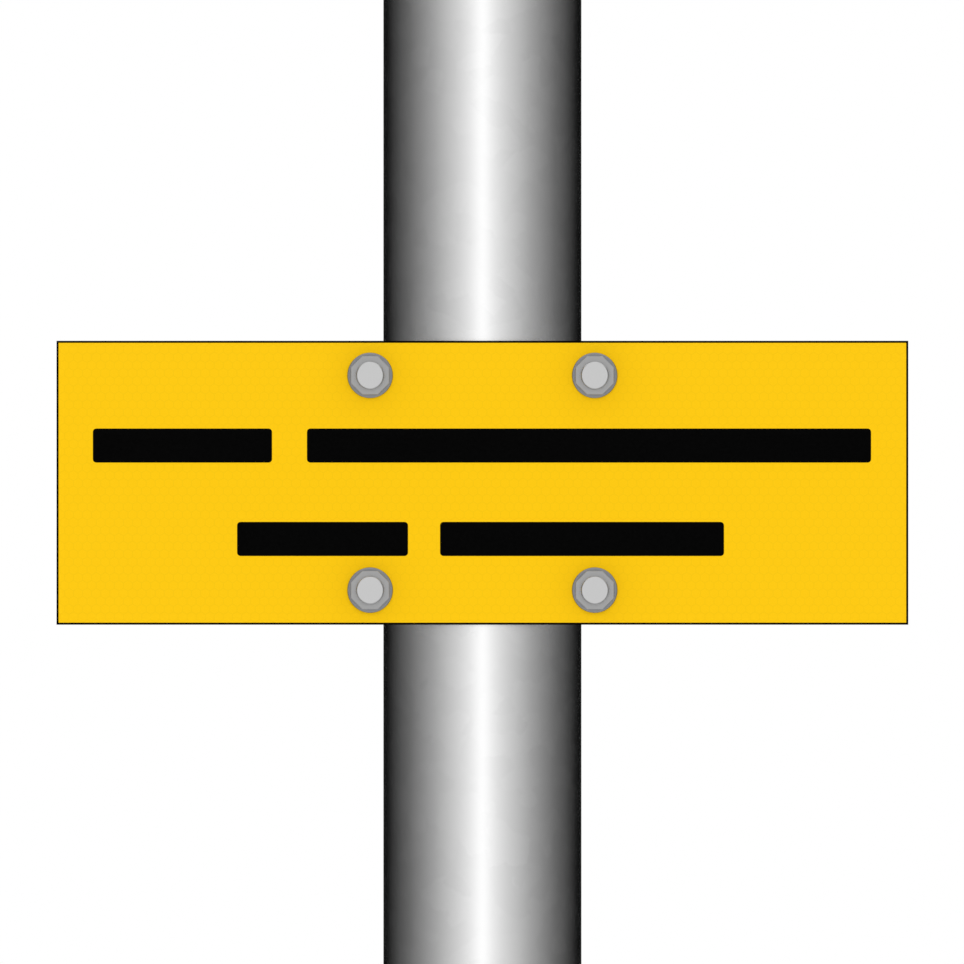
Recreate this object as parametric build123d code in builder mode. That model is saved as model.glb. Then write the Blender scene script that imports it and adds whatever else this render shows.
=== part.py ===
from build123d import *
import os
from math import cos, radians, sin

# A small sign plate on a round steel post, held by two U-bolts and bolted down by a base flange.
# Millimetres. Z points up and the ground is z = 0. The post stands on the Z axis and the sign faces -Y.

# Post
post_diameter = 70.0
post_wall = 3.2
post_height = 1500.0
post_edge_break = 0.6

# Base flange, its anchor holes and its drain hole
flange_thickness = 12.0
flange_corner_radius = 12.0
flange_edge_chamfer = 1.5
anchor_spacing = 150.0
anchor_edge = 25.0
anchor_hole_diameter = 14.0
drain_hole_diameter = 32.0

# Fillet weld round the foot of the post
weld_leg = 6.0

# Gussets
gusset_thickness = 6.0
gusset_height = 80.0
gusset_top_land = 8.0
gusset_toe_height = 12.0
gusset_setback = 14.0
gusset_weld_gap = 3.0

# Post cap
cap_rim_height = 7.0
cap_cone_rise = 6.0
cap_shoulder_chamfer = 3.0
cap_wall = 2.4
cap_spigot_depth = 26.0
cap_spigot_gap = 1.6
cap_rib_count = 12
cap_rib_thickness = 1.8
cap_rib_clearance = 0.1
cap_rib_lead_in = 3.0

# Sign sheet and the film on its face
sign_width = 300.0
sign_height = 100.0
sign_drop = 250.0
sheet_thickness = 2.0
film_thickness = 0.3
sign_hole_clearance = 0.9

# U-bolts
u_bolt_spacing = 75.6
rod_diameter = 9.0
rod_clearance = 0.05
thread_diameter = 9.6
thread_past_saddle = 12.0
thread_beyond_nut = 4.0
thread_end_chamfer = 0.4

# Saddles between the post and the sheet
saddle_height = 20.0
saddle_seat_thickness = 4.0
saddle_ear_thickness = 6.0
saddle_ear_margin = 10.0
saddle_hole_clearance = 0.9
saddle_horn_angle = 45.0
saddle_horn_thickness = 3.2
saddle_horn_clearance = 2.2
saddle_end_radius = 2.0
saddle_root_radius = 3.0
saddle_tip_radius = 1.0

# Washers and nuts
washer_diameter = 16.0
washer_thickness = 2.0
washer_hole_clearance = 0.6
nut_sides = 8
nut_across_flats = 13.5
nut_height = 8.0
nut_bore_clearance = 0.1
nut_edge_chamfer = 0.25

# Sizes that follow from the ones above
post_radius = post_diameter / 2
bore_radius = post_radius - post_wall
flange_side = anchor_spacing + 2 * anchor_edge
leg_offset = post_radius + rod_clearance + rod_diameter / 2

# Distances in front of the post's axis, from the saddle out to the tips of the rods
saddle_front = post_radius + saddle_seat_thickness
sheet_front = saddle_front + sheet_thickness
film_front = sheet_front + film_thickness
washer_front = film_front + washer_thickness
nut_front = washer_front + nut_height
rod_front = nut_front + thread_beyond_nut
ear_back = saddle_front - saddle_ear_thickness
thread_back = ear_back - thread_past_saddle

# The sign's centre is that far below the post's top, with a U-bolt above it and one below.
sign_centre_height = post_height - sign_drop
u_bolt_heights = {
    "upper": sign_centre_height + u_bolt_spacing / 2,
    "lower": sign_centre_height - u_bolt_spacing / 2,
}

# Where the U-bolts' four legs pass through the sign
leg_places = {
    f"{level}_{side}": (x, height)
    for level, height in u_bolt_heights.items()
    for side, x in (("left", -leg_offset), ("right", leg_offset))
}


def facing(distance, place=(0, 0)):
    # A plane that far in front of the post's axis, seen from the front. Its origin has this x and height.
    x, height = place
    return Plane(origin=(x, -distance, height), x_dir=(1, 0, 0), z_dir=(0, -1, 0))


def make_flange():
    with BuildPart() as flange:
        with BuildSketch():
            RectangleRounded(flange_side, flange_side, flange_corner_radius)
            Circle(drain_hole_diameter / 2, mode=Mode.SUBTRACT)
            with GridLocations(anchor_spacing, anchor_spacing, 2, 2):
                Circle(anchor_hole_diameter / 2, mode=Mode.SUBTRACT)
        extrude(amount=flange_thickness)
        top_face = flange.faces().sort_by(Axis.Z)[-1]
        chamfer(top_face.outer_wire().edges(), flange_edge_chamfer)
    return flange.part


def make_post():
    with BuildPart() as post:
        with BuildSketch(Plane.XY.offset(flange_thickness)):
            Circle(post_radius)
            Circle(bore_radius, mode=Mode.SUBTRACT)
        extrude(amount=post_height - flange_thickness)
        top_face = post.faces().sort_by(Axis.Z)[-1]
        chamfer(top_face.outer_wire().edges(), post_edge_break)
    return post.part


def make_base_weld():
    with BuildPart() as weld:
        with BuildSketch(Plane.XZ):
            Polygon(
                (post_radius, flange_thickness),
                (post_radius + weld_leg, flange_thickness),
                (post_radius, flange_thickness + weld_leg),
                align=None,
            )
        revolve(axis=Axis.Z)
    return weld.part


def make_gusset(turn):
    # The web starts inside the tube and is coped to it. Its inner corner is cut off, clear of the weld.
    outer = flange_side / 2 - gusset_setback
    snipe = weld_leg + gusset_weld_gap
    top = flange_thickness + gusset_height
    with BuildPart() as gusset:
        with BuildSketch(Plane.XZ.rotated((0, 0, turn))):
            Polygon(
                (bore_radius, top),
                (bore_radius, flange_thickness + snipe + post_wall),
                (post_radius + snipe, flange_thickness),
                (outer, flange_thickness),
                (outer, flange_thickness + gusset_toe_height),
                (post_radius + gusset_top_land, top),
                align=None,
            )
        extrude(amount=gusset_thickness / 2, both=True)
        with BuildSketch():
            Circle(post_radius)
        extrude(amount=post_height, mode=Mode.SUBTRACT)
    return gusset.part


def make_cap():
    # A lid as wide as the post, with a shallow cone on top, on a hollow spigot whose ribs grip the bore.
    spigot_radius = bore_radius - cap_spigot_gap
    hollow_radius = spigot_radius - cap_wall
    rib_radius = bore_radius - cap_rib_clearance
    spigot_end = post_height - cap_spigot_depth
    cone_foot = post_height + cap_rim_height
    cone_top = cone_foot + cap_cone_rise
    ceiling_foot = cone_top - cap_cone_rise * hollow_radius / post_radius - cap_wall
    with BuildPart() as cap:
        with BuildSketch(Plane.XZ) as section:
            Polygon(
                (hollow_radius, spigot_end),
                (spigot_radius, spigot_end),
                (spigot_radius, post_height),
                (post_radius, post_height),
                (post_radius, cone_foot),
                (0, cone_top),
                (0, cone_top - cap_wall),
                (hollow_radius, ceiling_foot),
                align=None,
            )
            shoulder = section.vertices().group_by(Axis.X)[-1].sort_by(Axis.Y)[-1]
            chamfer(shoulder, cap_shoulder_chamfer)
        revolve(axis=Axis.Z)
        with BuildSketch(Plane.XY.offset(spigot_end + cap_rib_lead_in)):
            with PolarLocations((hollow_radius + rib_radius) / 2, cap_rib_count):
                Rectangle(rib_radius - hollow_radius, cap_rib_thickness)
            Circle(rib_radius, mode=Mode.INTERSECT)
        extrude(amount=cap_spigot_depth - cap_rib_lead_in)
    return cap.part


def make_panel(back, thickness):
    # The sign's sheet and its film have one outline, with a hole for each leg of the U-bolts.
    with BuildPart() as panel:
        with BuildSketch(facing(back)):
            with Locations((0, sign_centre_height)):
                Rectangle(sign_width, sign_height)
            with Locations(*leg_places.values()):
                Circle((thread_diameter + sign_hole_clearance) / 2, mode=Mode.SUBTRACT)
        extrude(amount=thickness)
    return panel.part


def make_u_bolt(height):
    # Straight legs join a half circle behind the post. The rolled threads are wider than the rod.
    with BuildPart() as u_bolt:
        with BuildLine(Plane.XY.offset(height)):
            Line((-leg_offset, -rod_front), (-leg_offset, 0))
            ThreePointArc((-leg_offset, 0), (0, leg_offset), (leg_offset, 0))
            Line((leg_offset, 0), (leg_offset, -rod_front))
        with BuildSketch(facing(rod_front, (-leg_offset, height))):
            Circle(rod_diameter / 2)
        sweep()
        with BuildSketch(facing(thread_back, (0, height))):
            with Locations((-leg_offset, 0), (leg_offset, 0)):
                Circle(thread_diameter / 2)
        extrude(amount=rod_front - thread_back)
        tips = u_bolt.faces().group_by(Axis.Y)[0]
        chamfer(tips.edges(), thread_end_chamfer)
    return u_bolt.part


def make_saddle(height):
    # Half of the profile: along the sheet, round the ear, in behind the leg and out to the horn's tip.
    horn_angle = radians(saddle_horn_angle)
    horn_way = Vector(sin(horn_angle), -cos(horn_angle))
    ear_end = leg_offset + saddle_ear_margin
    horn_root = leg_offset - thread_diameter / 2 - saddle_horn_clearance
    tip = horn_way * post_radius
    with BuildPart() as saddle:
        with BuildSketch(Plane.XY.offset(height - saddle_height / 2)):
            with BuildLine():
                FilletPolyline(
                    (0, -saddle_front),
                    (ear_end, -saddle_front),
                    (ear_end, -ear_back),
                    (horn_root, -ear_back),
                    horn_way * (post_radius + saddle_horn_thickness),
                    tip,
                    radius=[
                        saddle_end_radius,
                        saddle_end_radius,
                        saddle_root_radius,
                        saddle_tip_radius,
                    ],
                )
                RadiusArc(tip, (0, -post_radius), post_radius)
                mirror(about=Plane.YZ)
            make_face()
        extrude(amount=saddle_height)
        with BuildSketch(facing(ear_back, (0, height))):
            with Locations((-leg_offset, 0), (leg_offset, 0)):
                Circle((thread_diameter + saddle_hole_clearance) / 2)
        extrude(amount=saddle_ear_thickness, mode=Mode.SUBTRACT)
    return saddle.part


def make_washer(place):
    with BuildPart() as washer:
        with BuildSketch(facing(film_front, place)):
            Circle(washer_diameter / 2)
            Circle((thread_diameter + washer_hole_clearance) / 2, mode=Mode.SUBTRACT)
        extrude(amount=washer_thickness)
    return washer.part


def make_nut(place):
    # An octagonal prism with a flat on top. The edges of both faces are broken.
    with BuildPart() as nut:
        with BuildSketch(facing(washer_front, place)):
            RegularPolygon(
                nut_across_flats / 2, nut_sides, major_radius=False, rotation=180 / nut_sides
            )
            Circle((thread_diameter + nut_bore_clearance) / 2, mode=Mode.SUBTRACT)
        extrude(amount=nut_height)
        faces = nut.faces().sort_by(Axis.Y)
        rims = faces[0].outer_wire().edges() + faces[-1].outer_wire().edges()
        chamfer(rims, nut_edge_chamfer)
    return nut.part


pieces = {
    "base_flange": make_flange(),
    "base_weld": make_base_weld(),
    "post_tube": make_post(),
    "post_cap": make_cap(),
    "sign_sheet": make_panel(saddle_front, sheet_thickness),
    "sign_face": make_panel(sheet_front, film_thickness),
}
for side, turn in {"right": 0, "back": 90, "left": 180, "front": 270}.items():
    pieces[f"gusset_{side}"] = make_gusset(turn)
for level, height in u_bolt_heights.items():
    pieces[f"u_bolt_{level}"] = make_u_bolt(height)
    pieces[f"saddle_{level}"] = make_saddle(height)
for corner, place in leg_places.items():
    pieces[f"washer_{corner}"] = make_washer(place)
    pieces[f"nut_{corner}"] = make_nut(place)

os.makedirs("parts", exist_ok=True)
for name, piece in pieces.items():
    piece.label = name
    export_step(piece, f"parts/{name}.step")
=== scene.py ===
import math

import bmesh
import bpy
import numpy as np
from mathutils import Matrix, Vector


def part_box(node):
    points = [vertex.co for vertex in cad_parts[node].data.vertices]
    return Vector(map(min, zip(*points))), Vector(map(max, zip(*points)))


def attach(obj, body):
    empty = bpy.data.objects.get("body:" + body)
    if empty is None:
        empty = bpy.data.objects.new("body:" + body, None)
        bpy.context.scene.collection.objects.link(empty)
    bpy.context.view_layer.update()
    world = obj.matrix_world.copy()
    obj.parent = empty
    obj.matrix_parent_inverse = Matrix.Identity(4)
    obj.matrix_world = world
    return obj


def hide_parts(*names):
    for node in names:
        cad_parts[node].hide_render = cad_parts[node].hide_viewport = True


# A yellow sign plate clamped to a round steel post, seen straight from the front.
# Metres, Z up. The post stands on the Z axis and the sign faces -Y.

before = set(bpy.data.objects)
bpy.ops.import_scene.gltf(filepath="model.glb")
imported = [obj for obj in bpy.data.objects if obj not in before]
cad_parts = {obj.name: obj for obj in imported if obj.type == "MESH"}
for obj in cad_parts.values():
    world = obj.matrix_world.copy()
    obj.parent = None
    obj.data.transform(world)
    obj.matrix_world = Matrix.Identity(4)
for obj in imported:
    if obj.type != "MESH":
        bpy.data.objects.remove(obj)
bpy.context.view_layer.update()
mm = 0.001
fullTurn = 2 * math.pi


def nodeBox(node):
    low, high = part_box(node)
    return np.array(low), np.array(high)


tubeLow, tubeHigh = nodeBox("post_tube")
sheetLow, sheetHigh = nodeBox("sign_sheet")
filmLow, filmHigh = nodeBox("sign_face")
postRadius = (tubeHigh[0] - tubeLow[0]) / 2
flangeTop = nodeBox("base_flange")[1][2]
signCentre = (sheetLow[2] + sheetHigh[2]) / 2
filmFront = -filmLow[1]
levels = ("upper", "lower")
corners = [f"{level}_{side}" for level in levels for side in ("left", "right")]
quarters = ("right", "back", "left", "front")   # a quarter turn apart, from the X axis
print("frame loaded, post radius", round(float(postRadius) * 1000, 3), "mm")


def grey(shade):
    return (shade, shade, shade, 1)


class Wire:
    # A node's output on its way through a material. A sum of wires and numbers adds Math nodes.
    def __init__(self, tree, socket=None):
        self.tree = tree
        self.socket = socket

    def node(self, kind, settings=None, inputs=None, output=0):
        # Adds a node: first its settings, then the value or link of each socket.
        made = self.tree.nodes.new(kind)
        for name, value in (settings or {}).items():
            if name == "stops":
                self.setStops(made.color_ramp.elements, value)
            else:
                setattr(made, name, value)
        for name, value in (inputs or {}).items():
            if isinstance(value, Wire):
                self.tree.links.new(value.socket, made.inputs[name])
            else:
                made.inputs[name].default_value = value
        return Wire(self.tree, made.outputs[output]) if made.outputs else made

    def setStops(self, elements, stops):
        while len(elements) < len(stops):
            elements.new(1)
        for element, (position, shade) in zip(elements, stops):
            element.position = position
            element.color = grey(shade)

    def maths(self, operation, first, second=0.0):
        return self.node("ShaderNodeMath", {"operation": operation}, {0: first, 1: second})

    def __add__(self, other):
        return self.maths("ADD", self, other)

    def __sub__(self, other):
        return self.maths("SUBTRACT", self, other)

    def __rsub__(self, other):
        return self.maths("SUBTRACT", other, self)

    def __mul__(self, other):
        return self.maths("MULTIPLY", self, other)

    def __truediv__(self, other):
        return self.maths("DIVIDE", self, other)

    def __lt__(self, other):
        return self.maths("LESS_THAN", self, other)

    __radd__ = __add__
    __rmul__ = __mul__

    def place(self):
        # Where a point of the object is, in metres
        return self.node("ShaderNodeTexCoord", output="Object")

    def noise(self, width, detail, colour=False):
        # Noise on this wire's coordinates, whose lumps are about this wide
        inputs = {"Vector": self, "Scale": 1 / width, "Detail": detail}
        return self.node("ShaderNodeTexNoise", inputs=inputs, output="Color" if colour else 0)

    def stretch(self, *factors):
        return self.node("ShaderNodeVectorMath", {"operation": "MULTIPLY"}, {0: self, 1: factors})

    def rise(self, low, high):
        # 0 at low, 1 at high and a smooth S between them
        limits = {"Value": self, "From Min": low, "From Max": high}
        return self.node("ShaderNodeMapRange", {"interpolation_type": "SMOOTHSTEP"}, limits)

    def about(self, middle, swing):
        # From half the swing below this middle to half of it above, as this wire goes from 0 to 1
        return (self - 0.5) * swing + middle

    def blend(self, first, second):
        # The first colour where this wire is 0, the second where it is 1
        inputs = {0: self, 6: (*first, 1), 7: (*second, 1)}
        return self.node("ShaderNodeMix", {"data_type": "RGBA", "clamp_factor": True}, inputs, 2)


def startMaterial(name):
    material = bpy.data.materials.new(name)
    material.use_nodes = True
    material.node_tree.nodes.clear()
    return material, Wire(material.node_tree)


def endMaterial(wire, constants, colour, roughness, height, depth):
    # The surface's relief is the height times the depth, in metres.
    relief = {"Strength": 1.0, "Distance": depth, "Height": height}
    bump = wire.node("ShaderNodeBump", inputs=relief)
    links = {**constants, "Base Color": colour, "Roughness": roughness, "Normal": bump}
    surface = wire.node("ShaderNodeBsdfPrincipled", inputs=links)
    wire.node("ShaderNodeOutputMaterial", inputs={"Surface": surface})


def around(colour, spread):
    # A darker and a lighter colour either side of this one
    return [tuple(min(1.0, c * (1 + s)) for c in colour) for s in (-spread, spread)]


spangledLook = {
    "crystal": 7 * mm,      # width of a zinc crystal
    "cloud": 60 * mm,       # width of a duller patch
    "cloudShare": 0.4,      # of the tone. The crystals have the rest
    "ragged": 2.5 * mm,     # width of the lobes along a crystal's edge
    "raggedReach": 3 * mm,
    "pit": 0.9 * mm,        # width of a pit in the coating
    "pitDepth": 0.006 * mm,
}


def spangledZinc(name, colour, roughness, spread, mottle=0.16, metallic=1.0, rimTint=1.0):
    # Hot-dip zinc: flat ragged crystals of slightly different grey, duller in patches, over fine
    # pits. A dark rim tint dims what the metal mirrors at a glancing angle.
    look = spangledLook
    material, wire = startMaterial(name)
    place = wire.place()
    lobes = place.noise(look["ragged"], detail=2.0, colour=True)
    reach = {0: lobes, 1: (look["raggedReach"],) * 3, 2: place}
    shifted = wire.node("ShaderNodeVectorMath", {"operation": "MULTIPLY_ADD"}, reach)
    crystals = {"Vector": shifted, "Scale": 1 / look["crystal"]}
    cells = wire.node("ShaderNodeTexVoronoi", inputs=crystals, output="Color")
    crystal = wire.node("ShaderNodeSeparateColor", inputs={0: cells})
    cloud = place.noise(look["cloud"], detail=3.0)
    pits = place.noise(look["pit"], detail=2.0)
    tone = crystal * (1 - look["cloudShare"]) + cloud * look["cloudShare"]
    tint = tone.blend(*around(colour, spread))
    constants = {"Metallic": metallic, "Specular Tint": grey(rimTint)}
    endMaterial(wire, constants, tint, tone.about(roughness, mottle), pits, look["pitDepth"])
    return material


drawnLook = {"detail": 4.0, "mottle": 0.15, "depth": 0.004 * mm}


def drawnSteel(name, colour, roughness, lines, spread):
    # Marks that follow the surface: lines gives how often they change around it and along it.
    look = drawnLook
    material, wire = startMaterial(name)
    surface = wire.node("ShaderNodeUVMap", {"uv_map": "surface"})
    marks = surface.stretch(*lines, 1).noise(1.0, detail=look["detail"])
    tint = marks.blend(*around(colour, spread))
    shine = marks.about(roughness, look["mottle"])
    endMaterial(wire, {"Metallic": 1.0}, tint, shine, marks, look["depth"])
    return material


sheetLook = {
    "lines": (8, 2200, 2200),   # how often they change in a metre along each axis
    "detail": 3.0,
    "spread": 0.05,
    "mottle": 0.1,
    "metallic": 0.8,
    "depth": 0.0012 * mm,
}


def rolledSheet(name, colour, roughness):
    # Mill-finished sheet, with long fine lines along its rolling direction.
    look = sheetLook
    material, wire = startMaterial(name)
    lines = wire.place().stretch(*look["lines"]).noise(1.0, detail=look["detail"])
    tint = lines.blend(*around(colour, look["spread"]))
    shine = lines.about(roughness, look["mottle"])
    endMaterial(wire, {"Metallic": look["metallic"]}, tint, shine, lines, look["depth"])
    return material


castingLook = {
    "grain": 0.7 * mm,      # left by the mould
    "grainDepth": 0.05 * mm,
    "patch": 9 * mm,
    "patchShare": 0.6,      # of the tone. The grain has the rest
    "spread": 0.12,
    "mottle": 0.15,
}


def blastedCasting(name, colour, roughness):
    # Cast metal with the grain of its mould, duller in patches.
    look = castingLook
    material, wire = startMaterial(name)
    place = wire.place()
    grain = place.noise(look["grain"], detail=3.0)
    patches = place.noise(look["patch"], detail=2.0)
    tone = grain * (1 - look["patchShare"]) + patches * look["patchShare"]
    tint = tone.blend(*around(colour, look["spread"]))
    shine = patches.about(roughness, look["mottle"])
    endMaterial(wire, {"Metallic": 1.0}, tint, shine, grain, look["grainDepth"])
    return material


plasticLook = {
    "skin": 0.5 * mm,       # grain of the mould's spark-eroded skin
    "skinDepth": 0.09 * mm,
    "weather": 14 * mm,     # width of a chalky patch
    "chalky": (0.4, 0.65),  # the weather's noise where the chalk starts and where it is whole
    "spread": 0.5,
    "mottle": 0.5,
    "specular": 0.4,
}


def mouldedPlastic(name, colour, roughness):
    # Black moulding, greyer and duller where it has weathered.
    look = plasticLook
    material, wire = startMaterial(name)
    place = wire.place()
    skin = place.noise(look["skin"], detail=2.0)
    weather = place.noise(look["weather"], detail=6.0)
    tint = weather.rise(*look["chalky"]).blend(*around(colour, look["spread"]))
    shine = weather.about(roughness, look["mottle"])
    constants = {"Specular IOR Level": look["specular"]}
    endMaterial(wire, constants, tint, shine, skin, look["skinDepth"])
    return material


filmLook = {
    "yellow": (0.985, 0.587, 0.0055),
    "cell": 3.2 * mm,       # across one sealed cell of the film
    "seam": 0.25 * mm,      # half the width of the seal between two cells
    "seamShade": 0.955,     # how light a seal is beside its cells
    "bead": 0.35 * mm,      # width of the beads' grain
    "roughness": 0.42,
    "mottle": 0.1,
    "specular": 0.05,
    "depth": 0.004 * mm,
}


def reflectiveFilm(name):
    # Cellular film. A honeycomb is what lies nearest to each centre of two offset grids of
    # rectangles, so a point is measured from the nearer of its two centres.
    look = filmLook
    material, wire = startMaterial(name)
    place = wire.place()
    split = [wire.node("ShaderNodeSeparateXYZ", inputs={0: place}, output=axis) for axis in "XZ"]
    across, up = [distance / look["cell"] for distance in split]
    rowPitch = math.sqrt(3)

    def cellOffset(shift):
        x = wire.maths("FLOORED_MODULO", across + shift, 1.0) - 0.5
        y = wire.maths("FLOORED_MODULO", up + shift * rowPitch, rowPitch) - rowPitch / 2
        return wire.maths("ABSOLUTE", x), wire.maths("ABSOLUTE", y), x * x + y * y

    (xA, yA, farA), (xB, yB, farB) = cellOffset(0.0), cellOffset(0.5)
    pick = farA < farB
    x = xA * pick + xB * (1 - pick)
    y = yA * pick + yB * (1 - pick)
    edge = wire.maths("MAXIMUM", x, x * 0.5 + y * (rowPitch / 2))  # half a cell at its rim
    seam = edge.rise(0.5 - look["seam"] / look["cell"], 0.5)
    beads = place.noise(look["bead"], detail=1.0)
    tint = seam.blend(look["yellow"], [c * look["seamShade"] for c in look["yellow"]])
    shine = beads.about(look["roughness"], look["mottle"])
    constants = {"Specular IOR Level": look["specular"]}
    endMaterial(wire, constants, tint, shine, beads - seam, look["depth"])
    return material


inkLook = {
    "grain": 0.8 * mm,
    "palest": (0.002, 0.002, 0.002),
    "roughness": 0.55,
    "mottle": 0.1,
    "specular": 0.02,
    "depth": 0.004 * mm,
}


def printedInk(name):
    # Screen-printed black, very slightly uneven.
    look = inkLook
    material, wire = startMaterial(name)
    grain = wire.place().noise(look["grain"], detail=2.0)
    tint = grain.blend((0, 0, 0), look["palest"])
    shine = grain.about(look["roughness"], look["mottle"])
    endMaterial(wire, {"Specular IOR Level": look["specular"]}, tint, shine, grain, look["depth"])
    return material


# A name, then a colour and a mean roughness. A spread is how far the colour strays, as a share.
finishes = {
    "post": spangledZinc(
        "postZinc", (0.95, 0.95, 0.95), 0.2, spread=0.03, mottle=0.05, rimTint=0.0
    ),
    "plates": spangledZinc(
        "plateZinc", (0.66, 0.67, 0.685), 0.42, spread=0.13, mottle=0.24, metallic=0.85
    ),
    "weld": spangledZinc("weldZinc", (0.5, 0.505, 0.515), 0.5, spread=0.1, metallic=0.75),
    "cap": mouldedPlastic("capPlastic", (0.03, 0.03, 0.032), 0.55),
    "sheet": rolledSheet("millSheet", (0.82, 0.825, 0.83), 0.42),
    "film": reflectiveFilm("yellowFilm"),
    "ink": printedInk("blackInk"),
    "saddle": blastedCasting("saddleCasting", (0.6, 0.61, 0.62), 0.45),
    "rod": drawnSteel("rodZinc", (0.592, 0.592, 0.592), 0.3, lines=(30, 14), spread=0.05),
    "washer": drawnSteel("washerSteel", (0.3, 0.31, 0.33), 0.34, lines=(2, 70), spread=0.06),
    "nut": drawnSteel("nutSteel", (0.39, 0.39, 0.39), 0.32, lines=(2, 90), spread=0.05),
}
print("materials made", len(finishes))


def gridShell(points, closedRows=True):
    # A grid of points as quads. Row i joins row i + 1, and each row's last point joins its first.
    # Where the rows are closed, the last row joins the first one too.
    rows, columns = points.shape[:2]
    index = np.arange(rows * columns).reshape(rows, columns)
    if closedRows:
        index = np.vstack([index, index[:1]])
    index = np.hstack([index, index[:, :1]])
    along, across = np.indices(index.shape)
    surface = np.stack([across / columns, along / rows], axis=-1)

    def quadsOf(grid):
        return np.stack([grid[:-1, :-1], grid[1:, :-1], grid[1:, 1:], grid[:-1, 1:]], axis=2)

    return points.reshape(-1, 3), quadsOf(index).reshape(-1, 4), quadsOf(surface).reshape(-1, 2)


def addObject(name, data):
    made = bpy.data.objects.new(name, data)
    bpy.context.scene.collection.objects.link(made)
    return made


def addPiece(name, mesh, finish, replaced):
    mesh.materials.clear()
    mesh.materials.append(finishes[finish])
    piece = addObject(name, mesh)
    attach(piece, "root")
    if replaced:
        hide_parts(*replaced)
    return piece


meshLook = {
    "merge": 0.001 * mm,    # points closer than this become one
    "flat": 0.4,            # degrees. Faces that turn less than this are joined into one
    "sharp": 28,            # degrees. Edges that turn more than this are sharp
    "bevelSegments": 2,
}


def tidyMesh(mesh, sharpAngle, joinFlats=False):
    # Merges points that meet at poles and seams, turns the faces outwards, keeps sharp edges sharp.
    look = meshLook
    shape = bmesh.new()
    shape.from_mesh(mesh)
    bmesh.ops.remove_doubles(shape, verts=shape.verts, dist=look["merge"])
    if joinFlats:
        flat = math.radians(look["flat"])
        bmesh.ops.dissolve_limit(shape, angle_limit=flat, verts=shape.verts, edges=shape.edges)
    bmesh.ops.recalc_face_normals(shape, faces=shape.faces)
    shape.to_mesh(mesh)
    shape.free()
    mesh.shade_smooth()
    mesh.set_sharp_from_angle(angle=math.radians(sharpAngle))


def makePiece(name, shells, finish, replaced=(), sharpAngle=meshLook["sharp"]):
    # One mesh of all these shells, with a UV map that follows each shell's grid
    starts = np.cumsum([0] + [len(shell[0]) for shell in shells[:-1]])
    points = np.concatenate([shell[0] for shell in shells])
    quads = np.concatenate([shell[1] + start for shell, start in zip(shells, starts)])
    surface = np.concatenate([shell[2] for shell in shells])
    mesh = bpy.data.meshes.new(name)
    mesh.vertices.add(len(points))
    mesh.vertices.foreach_set("co", points.ravel())
    mesh.loops.add(quads.size)
    mesh.loops.foreach_set("vertex_index", quads.ravel())
    mesh.polygons.add(len(quads))
    mesh.polygons.foreach_set("loop_start", np.arange(len(quads)) * 4)
    mesh.update(calc_edges=True)
    mesh.uv_layers.new(name="surface").data.foreach_set("uv", surface.ravel())
    tidyMesh(mesh, sharpAngle)
    addPiece(name, mesh, finish, replaced)


def softenedNode(node, finish, slot, width):
    # A merged copy of a CAD node with its sharp edges rolled over by this width. Its flats are
    # joined into whole faces first, because thin triangles would hold the rolled edges back.
    look = meshLook
    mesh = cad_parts[node].data.copy()
    tidyMesh(mesh, look["sharp"], joinFlats=True)
    piece = addPiece(node + "_finished", mesh, finish, [node])
    bevel = piece.modifiers.new("rolledEdges", "BEVEL")
    bevel.width = width
    bevel.segments = look["bevelSegments"]
    bevel.limit_method = "ANGLE"
    bevel.angle_limit = math.radians(look["sharp"])
    bevel.harden_normals = True


def smoothRise(x):
    # 0 up to 0, 1 from 1, and a smooth S between
    x = np.clip(x, 0, 1)
    return x * x * (3 - 2 * x)


def angles(steps):
    # Evenly spaced round a full turn
    return np.arange(steps) * fullTurn / steps


def upright(radius, height, angle):
    # Radius and height about the post's axis
    return np.stack([radius * np.cos(angle), radius * np.sin(angle), height + 0 * angle], axis=-1)


def facingFront(radius, distance, angle, centre):
    # Radius about a leg's axis, and distance in front of the post's axis
    x, z = centre[0] + radius * np.cos(angle), centre[1] + radius * np.sin(angle)
    return np.stack([x, -distance + 0 * angle, z], axis=-1)


arcRows = 5
cornerRows = arcRows + 2
holdShare = 0.3         # of a corner's radius, from its arc to the row that holds the side flat


def roundedProfile(points, radii):
    # A closed outline whose corners are arcs: each arc touches its two sides at the same distance.
    # A row just past each end of an arc keeps the smooth shading from tilting the whole side.
    points, radii = np.array(points, float), np.array(radii, float)
    before = np.roll(points, 1, axis=0) - points
    after = np.roll(points, -1, axis=0) - points
    before /= np.linalg.norm(before, axis=1, keepdims=True)
    after /= np.linalg.norm(after, axis=1, keepdims=True)
    middle = before + after
    middle /= np.linalg.norm(middle, axis=1, keepdims=True)
    half = np.arccos(np.clip((before * after).sum(1), -1, 1)) / 2
    centre = points + middle * (radii / np.sin(half))[:, None]
    start = points + before * (radii / np.tan(half))[:, None] - centre
    end = points + after * (radii / np.tan(half))[:, None] - centre
    share = np.linspace(0, 1, arcRows)[None, :, None]
    swing = (math.pi - 2 * half)[:, None, None]
    arc = np.sin((1 - share) * swing) * start[:, None] + np.sin(share * swing) * end[:, None]
    arc = centre[:, None] + arc / np.sin(swing)
    hold = (radii * holdShare)[:, None, None]
    held = [arc[:, :1] + before[:, None] * hold, arc, arc[:, -1:] + after[:, None] * hold]
    return np.concatenate(held, axis=1).reshape(-1, 2)


tubeLook = {"wall": 3.2 * mm, "steps": 256, "edge": 0.6 * mm, "innerEdge": 0.3 * mm}


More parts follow.
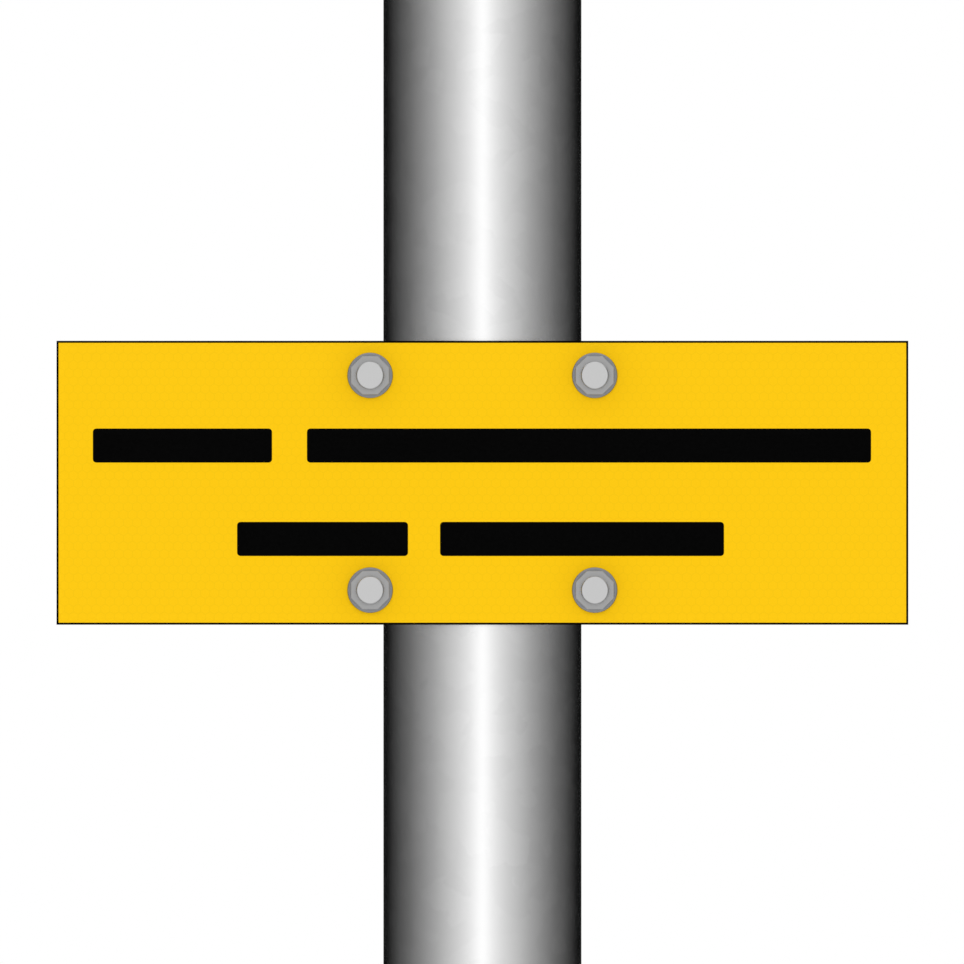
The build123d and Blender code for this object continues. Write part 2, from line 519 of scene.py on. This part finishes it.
def makeTube():
    # The wall's section, with rolled edges, turned about the axis.
    look = tubeLook
    inner = postRadius - look["wall"]
    low, high = tubeLow[2], tubeHigh[2]
    corner = [(inner, low), (postRadius, low), (postRadius, high), (inner, high)]
    edges = [look["innerEdge"], look["innerEdge"], look["edge"], look["innerEdge"]]
    section = roundedProfile(corner, edges)
    angle = angles(look["steps"])[None, :]
    points = upright(section[:, :1] + 0 * angle, section[:, 1:], angle)
    makePiece("postTube", [gridShell(points)], "post", ["post_tube"])


capLook = {
    "rim": 7 * mm,
    "rise": 6 * mm,
    "shoulder": 3 * mm,
    "wall": 2.4 * mm,
    "depth": 26 * mm,
    "spigotGap": 1.6 * mm,
    "ribs": 12,
    "ribWidth": 1.8 * mm,
    "ribClearance": 0.1 * mm,
    "leadIn": 3 * mm,       # from the spigot's end to the ribs' full height
    "ribRise": 1 * mm,      # length over which a rib rises, at both its ends
    "ribRows": 5,           # on each of these lengths
    "ribTop": 0.2 * mm,     # from the tube's top down to the ribs' upper end
    "ribFoot": 0.2 * mm,    # how far a rib's side starts beyond half its width
    "ribSide": 0.3 * mm,    # width over which the side rises
    "ribReach": 0.5 * mm,   # what lies further than this from the spigot's side carries no rib
    "gate": 4 * mm,         # radius of the dimple left by the mould's gate
    "gateSlope": 0.5 * mm,  # width of the dimple's sloping side
    "gateDepth": 0.6 * mm,
    # In mm, for each corner of the section. The two on the axis are left out again.
    "cornerRadii": (0.02, 1, 0.4, 0.4, 0.05, 0.4, 2.2, 2.2, 0.25, 0.25, 0.02),
    "steps": 288,
}


def makeCap():
    # The section of a lid and its hollow spigot, turned about the axis. Over a rib's width the
    # spigot's radius grows almost to the bore.
    look = capLook
    top = tubeHigh[2]
    bore = postRadius - tubeLook["wall"]
    spigot = bore - look["spigotGap"]
    hollow = spigot - look["wall"]
    foot = top + look["rim"]
    crown = foot + look["rise"]
    slope = look["rise"] / postRadius
    gateRim = crown - slope * look["gate"]
    gateFloor = gateRim - look["gateDepth"]
    end = top - look["depth"]
    poles = np.array([(0, crown - look["wall"]), (0, gateFloor)])
    section = roundedProfile(
        [
            poles[0],
            (hollow, crown - slope * hollow - look["wall"]),
            (hollow, end),
            (spigot, end),
            (spigot, top),
            (postRadius, top),
            (postRadius, foot - look["shoulder"]),
            (postRadius - look["shoulder"], foot + look["shoulder"] * slope),
            (look["gate"], gateRim),
            (look["gate"] - look["gateSlope"], gateFloor),
            poles[1],
        ],
        np.array(look["cornerRadii"]) * mm,
    )
    # On the axis the section ends in two poles instead of corners.
    section = np.vstack([poles[:1], section[cornerRows:-cornerRows], poles[1:]])
    rise = look["ribRise"]
    ribStart, ribEnd = end + look["leadIn"] - rise, top - look["ribTop"]
    climb = np.linspace(0, rise, look["ribRows"])
    wall = np.concatenate([ribStart + climb, ribEnd - rise + climb])[:, None]
    # The first pole and three corners come before the spigot's side.
    section = np.insert(section, 1 + 3 * cornerRows, np.hstack([spigot + 0 * wall, wall]), axis=0)
    angle = angles(look["steps"])[None, :]
    radius, height = section[:, :1] + 0 * angle, section[:, 1:] + 0 * angle
    # Length round the bore to the nearest rib's middle
    ribPitch = fullTurn / look["ribs"]
    offRib = np.abs((angle / ribPitch + 0.5) % 1 - 0.5) * ribPitch * bore
    rib = smoothRise((look["ribWidth"] / 2 + look["ribFoot"] - offRib) / look["ribSide"])
    rib = rib * smoothRise((height - ribStart) / rise) * smoothRise((ribEnd - height) / rise)
    rib = rib * (np.abs(radius - spigot) < look["ribReach"])
    radius = radius + rib * (look["spigotGap"] - look["ribClearance"])
    shell = gridShell(upright(radius, height, angle), closedRows=False)
    makePiece("postCap", [shell], "cap", ["post_cap"])


washerLook = {"roll": 0.35 * mm, "burr": 0.12 * mm, "bore": 5.1 * mm, "steps": 128}


def legPlace(corner):
    # X and height of a U-bolt's leg, from its nut
    low, high = nodeBox("nut_" + corner)
    return (low[0] + high[0]) / 2, (low[2] + high[2]) / 2


def makeWashers():
    # A ring's section turned about the leg's axis. Its front edges are rolled and its back sharper.
    look = washerLook
    angle = angles(look["steps"])[None, :]
    for corner in corners:
        low, high = nodeBox("washer_" + corner)
        outer = (high[0] - low[0]) / 2
        back, front = -high[1], -low[1]
        section = roundedProfile(
            [(look["bore"], back), (look["bore"], front), (outer, front), (outer, back)],
            [look["burr"], look["roll"], look["roll"], look["burr"]],
        )
        points = facingFront(section[:, :1] + 0 * angle, section[:, 1:], angle, legPlace(corner))
        name = "washer_" + corner
        makePiece(name + "_turned", [gridShell(points)], "washer", [name])


nutLook = {
    "sides": 8,
    "roundness": 260,       # the higher, the crisper the corners
    "bore": 4.62 * mm,      # between the rod's crests and roots, as in a threaded hole
    "mouth": 0.22 * mm,     # the bore's chamfer
    "edge": 0.14 * mm,      # radius of the rolled edge between a face and the flats
    "edgeSteps": 6,
    "hold": 0.05 * mm,      # from the rolled edge to the rows that keep the face and the flats flat
    "steps": 320,
}


def makeNuts():
    # Outline: half the size across flats over a high-power mean of the cosines to the flats'
    # normals. The section's outer corners are quarter circles, and each ring follows the outline.
    look = nutLook
    angle = angles(look["steps"])
    normals = angles(look["sides"])
    cosines = np.clip(np.cos(angle[:, None] - normals[None, :]), 0, 1)
    power = look["roundness"]
    spread = (cosines**power).sum(1) ** (1 / power)
    swing = np.linspace(0, math.pi / 2, look["edgeSteps"])
    held = look["edge"] + look["hold"]
    inset = np.concatenate([[held], look["edge"] * (1 - np.sin(swing)), [0]])
    drop = np.concatenate([[0], look["edge"] * (1 - np.cos(swing)), [held]])
    for corner in corners:
        low, high = nodeBox("nut_" + corner)
        flat = (high[0] - low[0]) / 2
        back, front = -high[1], -low[1]
        mouth = look["mouth"]
        backFace = np.concatenate([[back + mouth, back], back + drop])
        frontFace = np.concatenate([front - drop[::-1], [front, front - mouth]])
        height = np.concatenate([backFace, frontFace])
        outer = flat / spread[None, :] - np.concatenate([inset, inset[::-1]])[:, None]
        bore = np.array([[look["bore"]], [look["bore"] + mouth]]) + 0 * angle[None, :]
        radius = np.concatenate([bore, outer, bore[::-1]])
        points = facingFront(radius, height[:, None], angle[None, :], legPlace(corner))
        name = "nut_" + corner
        makePiece(name + "_turned", [gridShell(points)], "nut", [name])


rodLook = {
    "radius": 4.5 * mm,
    "crest": 4.8 * mm,
    "threadDepth": 0.62 * mm,
    "pitch": 1.5 * mm,
    "threadLength": 34.3 * mm,
    "runout": 3.0 * mm,
    "tip": 0.2 * mm,        # the end's chamfer: its length along the rod, and its depth
    "tipDepth": 0.27 * mm,
    "tipBand": 0.1 * mm,    # a ring of narrow faces that keeps the end's middle flat
    "threadStart": 1.2 * mm,
    "flats": 1.3,           # how much taller than the thread the wave is before it is clipped
    "rowsPerTurn": 9,
    "plainRows": 8,
    "bendRows": 90,
    "steps": 48,
    "sharpAngle": 40,
}


def makeRods():
    # A circle carried along two straight legs and a half circle. On the legs its radius follows a
    # helix: what it lacks to the crest is a clipped triangle wave of angle over a turn minus length
    # over the pitch.
    look = rodLook
    threadRows = int(look["threadLength"] / look["pitch"] * look["rowsPerTurn"])
    for level in levels:
        offset, height = legPlace(level + "_right")
        front = -nodeBox("u_bolt_" + level)[0][1]
        bend = math.pi * offset
        whole = 2 * front + bend
        tipRows = np.array([0.0, 0.0, 0.0, look["tip"] / 2])
        thread = np.linspace(look["tip"], look["threadLength"], threadRows)
        plain = np.linspace(look["threadLength"], front, look["plainRows"])[1:]
        half = np.concatenate([tipRows, thread, plain])
        middle = front + np.linspace(0, bend, look["bendRows"])[1:-1]
        along = np.concatenate([half, middle, whole - half[::-1]])
        swing = np.clip((along - front) / offset, 0, math.pi)
        straight = np.maximum(np.maximum(front - along, along - front - bend), 0)
        outward = np.stack([-np.cos(swing), np.sin(swing), 0 * swing], axis=-1)
        legs = np.stack([0 * straight, -straight, height + 0 * straight], axis=-1)
        centre = outward * offset + legs
        angle = angles(look["steps"])[None, :]
        fromTip = np.minimum(along, whole - along)[:, None]
        wave = np.abs(2 * ((angle / fullTurn - along[:, None] / look["pitch"]) % 1) - 1)
        groove = look["threadDepth"] * np.clip((wave - 0.5) * look["flats"] + 0.5, 0, 1)
        fade = smoothRise((look["threadLength"] - fromTip) / look["runout"])
        groove = groove * smoothRise(fromTip / look["threadStart"])
        radius = look["radius"] + fade * (look["crest"] - look["radius"] - groove)
        chamfer = look["tipDepth"] * (1 - fromTip / look["tip"])
        radius = np.minimum(radius, look["crest"] - chamfer)
        radius[[0, -1]] = 0
        radius[[1, -2]] -= look["tipBand"]
        cosine, sine = np.cos(angle)[..., None], np.sin(angle)[..., None]
        ring = cosine * outward[:, None] + sine * np.array([0, 0, 1])
        shell = gridShell(centre[:, None] + radius[..., None] * ring, closedRows=False)
        replaced = ["u_bolt_" + level]
        makePiece("uBolt_" + level, [shell], "rod", replaced, look["sharpAngle"])


weldLook = {
    "ringLeg": 6 * mm,
    "leg": 4 * mm,
    "crown": 0.55 * mm,
    "ripple": 0.28 * mm,
    "ripplePitch": 2.1 * mm,
    "rippleBend": 0.9,      # in ripples, four times what a crescent's middle runs ahead of its ends
    "crownShare": 0.7,      # of the crown's height, along each of the two plates
    "sink": 0.35 * mm,      # how far the bead reaches into what it joins
    "gussetHalf": 3 * mm,
    "snipe": 9 * mm,
    "overrun": 2.5 * mm,    # how far a gusset's beads run past its ends
    "wrap": 2.6 * mm,       # how far the beads across its ends reach past its sides
    "leastEnd": 0.02,       # square of a rounded end's smallest size
    "sideShift": 0.3,       # in ripples, from one gusset's side beads to the next one's
    "endShift": 0.2,        # the same for the beads across its ends
    "acrossRows": 9,
    "footRows": 900,
    "flangeRows": 200,
    "postRows": 260,
    "endRows": 60,
    "sharpAngle": 60,
}


def bead(path, sideA, sideB, leg, length, phase, roundEnds):
    # A rounded triangle carried along a path. Across it runs from the toe on one plate to the toe
    # on the other, and its crown carries crescents: one less the size of a sine of length over
    # pitch, bent by the place across. A rounded end is a quarter circle as long as the leg.
    look = weldLook
    across = np.linspace(0, 1, look["acrossRows"])[None, :]
    along = np.linspace(0, length, len(path))[:, None]
    wave = along / look["ripplePitch"] + phase + look["rippleBend"] * (across - 0.5) ** 2
    crescent = 1 - np.abs(np.sin(math.pi * wave))
    lift = (look["crown"] - look["ripple"] * crescent) * np.sin(math.pi * across)
    lift = lift * look["crownShare"]
    size = np.ones_like(along)
    if roundEnds:
        short = np.clip(1 - np.minimum(along, length - along) / leg, 0, 1)
        size = np.sqrt(np.clip(1 - short**2, look["leastEnd"], 1))
    reachA = size * (leg * (1 - across) + lift) - look["sink"] * across
    reachB = size * (leg * across + lift) - look["sink"] * (1 - across)
    reach = reachA[..., None] * sideA[:, None] + reachB[..., None] * sideB[:, None]
    root = look["sink"] * (sideA + sideB)[:, None]
    return path[:, None] + np.concatenate([reach, -root], axis=1)


def closedEnds(points):
    # Adds a row at each end in which all points meet, so that the tube closes to a pole.
    first = np.repeat(points[:1].mean(axis=1, keepdims=True), points.shape[1], axis=1)
    last = np.repeat(points[-1:].mean(axis=1, keepdims=True), points.shape[1], axis=1)
    return gridShell(np.concatenate([first, points, last]), closedRows=False)


def gussetBead(path, sideA, sideB, phase):
    # A straight or nearly straight bead with rounded ends, between two plates
    length = np.linalg.norm(path[-1] - path[0])
    ones = np.ones((len(path), 1))
    return closedEnds(bead(path, ones * sideA, ones * sideB, weldLook["leg"], length, phase, True))


def makeFootWeld():
    # One bead round the foot of the post, on the flange
    look = weldLook
    outward = upright(1.0, 0.0, angles(look["footRows"]))
    up = np.zeros_like(outward) + np.array([0, 0, 1])
    path = outward * postRadius + up * flangeTop
    ring = bead(path, outward, up, look["ringLeg"], fullTurn * postRadius, 0.0, False)
    shells = [gridShell(ring)]
    makePiece("footWeld", shells, "weld", ["base_weld"], look["sharpAngle"])


def makeGussetWelds():
    # Six beads on each gusset: two on the flange, two up the post, and one across each of its ends
    look = weldLook
    half = look["gussetHalf"]
    lean = math.asin(half / postRadius)
    up = np.array([0.0, 0.0, 1.0])
    shells = []
    for heading, side in enumerate(quarters):
        low, high = nodeBox("gusset_" + side)
        reach = max(np.abs(low[:2]).max(), np.abs(high[:2]).max())
        top = high[2]
        phase, endPhase = heading * look["sideShift"], heading * look["endShift"]
        forward = upright(1.0, 0.0, np.array(heading * math.pi / 2))
        aside = upright(1.0, 0.0, np.array((heading + 1) * math.pi / 2))
        start, end = postRadius + look["snipe"], reach + look["overrun"]
        lengths = np.linspace(start, end, look["flangeRows"])[:, None]
        start, end = flangeTop + look["snipe"], top + look["overrun"]
        heights = np.linspace(start, end, look["postRows"])[:, None]
        for hand in (-1, 1):
            sideways = hand * aside
            onFlange = sideways * half + up * flangeTop + lengths * forward
            shells.append(gussetBead(onFlange, sideways, up, phase))
            tangent = sideways * math.cos(lean) - forward * math.sin(lean)
            onPost = forward * postRadius * math.cos(lean) + sideways * half + heights * up
            shells.append(gussetBead(onPost, tangent, forward, phase + 0.5))
        shift = np.linspace(-1, 1, look["endRows"])[:, None] * (half + look["wrap"])
        acrossTop = forward * np.sqrt(postRadius**2 - shift**2) + aside * shift + up * top
        acrossToe = forward * reach + aside * shift + up * flangeTop
        shells += [gussetBead(path, up, forward, endPhase) for path in (acrossTop, acrossToe)]
    makePiece("gussetWelds", shells, "weld", sharpAngle=look["sharpAngle"])


printLook = {
    "border": 0.72 * mm,    # width of the line round the plate's edge
    "thickness": 0.04 * mm,
    "sunk": 0.02 * mm,
    "barHeight": 12 * mm,
    "barCorner": 1.2 * mm,
    "rowCentres": (13.1 * mm, -19.8 * mm),      # above and below the plate's centre
    "rows": (   # the left and right end of each bar, from the post's axis
        ((-137.2 * mm, -74.1 * mm), (-61.8 * mm, 136.9 * mm)),
        ((-86.4 * mm, -26.2 * mm), (-14.9 * mm, 85.1 * mm)),
    ),
}
printBack = filmFront - printLook["sunk"]
printFront = filmFront + printLook["thickness"]


def slab(outline):
    # A convex outline as a thin plate on the film, with a bevelled rim. Its back and its front
    # close at their middle.
    thickness = printLook["thickness"]
    middle = outline.mean(axis=0)
    rim = thickness / np.linalg.norm(outline - middle, axis=1).max()
    scale = np.array([0.0, 1.0, 1.0, 1 - rim, 0.0])[:, None, None]
    shoulder = printFront - thickness / 2
    distance = np.array([printBack, printBack, shoulder, printFront, printFront])[:, None]
    flat = middle + scale * (outline - middle)
    points = np.stack([flat[..., 0], -distance + 0 * flat[..., 0], flat[..., 1]], axis=-1)
    return gridShell(points, closedRows=False)


def makePrint():
    # A line round the edge, a loop of four corners at each of its section's corners, and two rows
    # of plain bars.
    look = printLook
    half = (filmHigh - filmLow)[[0, 2]] / 2
    signs = np.array([(-1, -1), (1, -1), (1, 1), (-1, 1)])
    outer, inner = signs * half, signs * (half - look["border"])
    loops = [(outer, printBack), (outer, printFront), (inner, printFront), (inner, printBack)]
    rows = [
        np.column_stack([loop[:, 0], np.full(4, -distance), signCentre + loop[:, 1]])
        for loop, distance in loops
    ]
    makePiece("borderLine", [gridShell(np.stack(rows))], "ink")

    bars = []
    for centre, row in zip(look["rowCentres"], look["rows"]):
        low = signCentre + centre - look["barHeight"] / 2
        high = low + look["barHeight"]
        for left, right in row:
            outline = [(left, low), (right, low), (right, high), (left, high)]
            bars.append(slab(roundedProfile(outline, [look["barCorner"]] * 4)))
    makePiece("printedBars", bars, "ink")


# Finish, slot and width of the rolled edges
softenedLook = {
    "base_flange": ("plates", "post_steel", 0.4 * mm),
    "gusset": ("plates", "post_steel", 0.5 * mm),
    "saddle": ("saddle", "saddle_metal", 0.45 * mm),
    "sign_sheet": ("sheet", "sheet_aluminium", 0.15 * mm),
}


def dressNodes():
    # CAD nodes whose shape stands get their finish, and all but the film get rolled edges.
    look = softenedLook
    softenedNode("base_flange", *look["base_flange"])
    for side in quarters:
        softenedNode("gusset_" + side, *look["gusset"])
    for level in levels:
        softenedNode("saddle_" + level, *look["saddle"])
    softenedNode("sign_sheet", *look["sign_sheet"])
    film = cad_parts["sign_face"]
    film.data.materials.clear()
    film.data.materials.append(finishes["film"])


makeTube()
makeCap()
print("post and cap made")
makeWashers()
makeNuts()
makeRods()
print("fasteners made")
makeFootWeld()
makeGussetWelds()
print("welds made")
makePrint()
dressNodes()
print("sign and plates made")


floorLook = {"radius": 14.0, "shade": 0.8, "fadeFrom": 0.7, "fadeTo": 3.2, "steps": 96}


def seenRays(wire):
    # 1 for what the camera sees directly, in a reflection or through something clear
    kinds = ("Is Camera Ray", "Is Glossy Ray", "Is Transmission Ray")
    camera, glossy, clear = [wire.node("ShaderNodeLightPath", output=kind) for kind in kinds]
    return wire.maths("MAXIMUM", wire.maths("MAXIMUM", camera, glossy), clear)


def makeFloor():
    # A pale disc of four rings that keeps the shadow near the post and fades to the white of the
    # background.
    look = floorLook
    radius = np.array([0.0, look["fadeFrom"], look["fadeTo"], look["radius"]])[:, None]
    angle = angles(look["steps"])[None, :]
    shell = gridShell(upright(radius + 0 * angle, 0 * radius, angle), closedRows=False)
    mesh = bpy.data.meshes.new("studioFloor")
    mesh.from_pydata(shell[0].tolist(), [], shell[1].tolist())
    tidyMesh(mesh, sharpAngle=180)
    if mesh.polygons[0].normal.z < 0:
        mesh.flip_normals()
    floor = addObject("studioFloor", mesh)
    material, wire = startMaterial("paleFloor")
    place = wire.place()
    distance = wire.node("ShaderNodeVectorMath", {"operation": "LENGTH"}, {0: place}, "Value")
    fade = distance.rise(look["fadeFrom"], look["fadeTo"]) * seenRays(wire)
    matt = wire.node("ShaderNodeBsdfDiffuse", inputs={"Color": grey(look["shade"])})
    white = wire.node("ShaderNodeEmission", inputs={"Color": grey(1.0), "Strength": 1.0})
    mixed = wire.node("ShaderNodeMixShader", inputs={0: fade, 1: matt, 2: white})
    wire.node("ShaderNodeOutputMaterial", inputs={"Surface": mixed})
    material.cycles.emission_sampling = "NONE"
    mesh.materials.append(material)


# Strength of the white room where it is seen or mirrored, and for the soft light it gives
worldLook = {"seen": 1.0, "soft": 0.55}


def makeWorld():
    # A white room round everything
    look = worldLook
    world = bpy.data.worlds.new("whiteStudio")
    world.use_nodes = True
    world.node_tree.nodes.clear()
    wire = Wire(world.node_tree)
    strength = look["soft"] + seenRays(wire) * (look["seen"] - look["soft"])
    sky = wire.node("ShaderNodeBackground", inputs={"Color": grey(1.0), "Strength": strength})
    wire.node("ShaderNodeOutputWorld", inputs={"Surface": sky})
    bpy.context.scene.world = world


bowlLook = {
    "inner": 0.45,
    "radius": 2.0,
    "corner": 0.3,
    "height": 3.0,
    "lift": 0.004,          # above the floor
    "soften": (0.2, 0.65, 2.0, 2.6),    # heights: softened below and above, plain between
    "softShade": 0.3,
    "bendRows": 10,
    "wallRows": 9,
    "steps": 180,
    # Grey from the camera's side (0) round to the far side (1)
    "stops": (
        (0.0, 1.13),
        (0.08, 0.83),
        (0.155, 0.65),
        (0.24, 0.5),
        (0.32, 0.355),
        (0.415, 0.237),
        (0.52, 0.133),
        (0.65, 0.066),
        (0.76, 0.026),
        (0.84, 0.01),
        (0.92, 0.3),
        (1.0, 0.9),
    ),
}


def makeBowl():
    # A wide bowl of card round the post, graded from white to black and seen only in reflections:
    # a profile of floor, bend and wall, turned about the axis. It shades a round bar from its
    # middle to its sides. U runs from the camera's side to the far side.
    look = bowlLook
    material, wire = startMaterial("gradedCard")
    place = wire.node("ShaderNodeUVMap", {"uv_map": "card"})
    turned = wire.node("ShaderNodeSeparateXYZ", inputs={0: place}, output="X")
    height = wire.node("ShaderNodeSeparateXYZ", inputs={0: place}, output="Y")
    ramp = wire.node("ShaderNodeValToRGB", {"stops": look["stops"]}, {0: turned})
    card = wire.node("ShaderNodeSeparateColor", inputs={0: ramp})
    low, lowEnd, highStart, high = look["soften"]
    soften = 1 - height.rise(low, lowEnd) + height.rise(highStart, high)
    shade = card + (1 - card) * soften * look["softShade"]
    glow = wire.node("ShaderNodeEmission", inputs={"Color": grey(1.0), "Strength": shade})
    wire.node("ShaderNodeOutputMaterial", inputs={"Surface": glow})
    material.cycles.emission_sampling = "NONE"

    bend = np.linspace(0, math.pi / 2, look["bendRows"])
    flatEnd = look["radius"] - look["corner"]
    curve = flatEnd + look["corner"] * np.sin(bend)
    climb = look["lift"] + look["corner"] * (1 - np.cos(bend))
    wall = np.linspace(climb[-1], look["height"], look["wallRows"])[1:]
    radius = np.concatenate([[look["inner"]], curve, look["radius"] + 0 * wall])[:, None]
    height = np.concatenate([[look["lift"]], climb, wall])[:, None]
    angle = angles(look["steps"])[None, :]
    points = upright(radius + 0 * angle, height, angle - math.pi / 2)
    shell = gridShell(points, closedRows=False)
    mesh = bpy.data.meshes.new("gradedBowl")
    mesh.from_pydata(shell[0].tolist(), [], shell[1].tolist())
    fromFront = 1 - np.abs(angle / math.pi - 1)
    surface = np.stack([fromFront + 0 * radius, height + 0 * fromFront], axis=-1).reshape(-1, 2)
    mesh.uv_layers.new(name="card").data.foreach_set("uv", surface[shell[1].ravel()].ravel())
    mesh.materials.append(material)
    bowl = addObject("gradedBowl", mesh)
    for kind in ("camera", "diffuse", "transmission", "volume_scatter", "shadow"):
        setattr(bowl, "visible_" + kind, False)


lampLook = {
    "front": {"place": (0.0, -4.5, 1.6), "size": 1.6, "power": 84.0},
    "back": {"place": (0.6, 4.2, 2.2), "size": 1.8, "power": 70.0},
}


def aimAt(direction):
    # Turns a lamp or camera, which look along -Z, to look this way with Z up
    x, y, z = direction
    return (math.pi / 2 + math.atan2(z, math.hypot(x, y)), 0, math.atan2(-x, y))


def makeLamps():
    # Soft lamps light what is matt. Metal shows the card and the white room instead of the lamps.
    for name, look in lampLook.items():
        light = bpy.data.lights.new(name + "Lamp", "AREA")
        light.shape = "DISK"
        light.size = look["size"]
        light.energy = look["power"]
        lamp = addObject(name + "Lamp", light)
        lamp.location = look["place"]
        lamp.rotation_euler = aimAt(np.array([0, 0, signCentre]) - np.array(look["place"]))
        lamp.visible_camera = False
        lamp.visible_glossy = False


cameraLook = {
    "lens": 1200.0,         # a very long lens, because the drawing has no perspective
    "sensor": 36.0,
    "clipEnd": 200.0,
    "pictureWidth": 964,
    "plateWidth": 851.75,   # the plate and its centre in pixels of the picture
    "plateCentre": (482.4, 482.75),
}


def makeCamera():
    # Stands where the plate lies on the same pixels as in the picture.
    look = cameraLook
    pixel = (filmHigh[0] - filmLow[0]) / look["plateWidth"]
    wide = pixel * look["pictureWidth"]
    distance = wide * look["lens"] / look["sensor"]
    half = look["pictureWidth"] / 2
    camera = bpy.data.cameras.new("frontCamera")
    camera.lens = look["lens"]
    camera.sensor_width = look["sensor"]
    camera.clip_end = look["clipEnd"]
    holder = addObject("frontCamera", camera)
    holder.location = (
        (half - look["plateCentre"][0]) * pixel,
        -filmFront - distance,
        signCentre + (look["plateCentre"][1] - half) * pixel,
    )
    holder.rotation_euler = (math.pi / 2, 0, 0)
    bpy.context.scene.camera = holder


makeFloor()
makeWorld()
makeBowl()
makeLamps()
makeCamera()
bpy.context.scene.view_settings.view_transform = "Standard"
print("studio made")
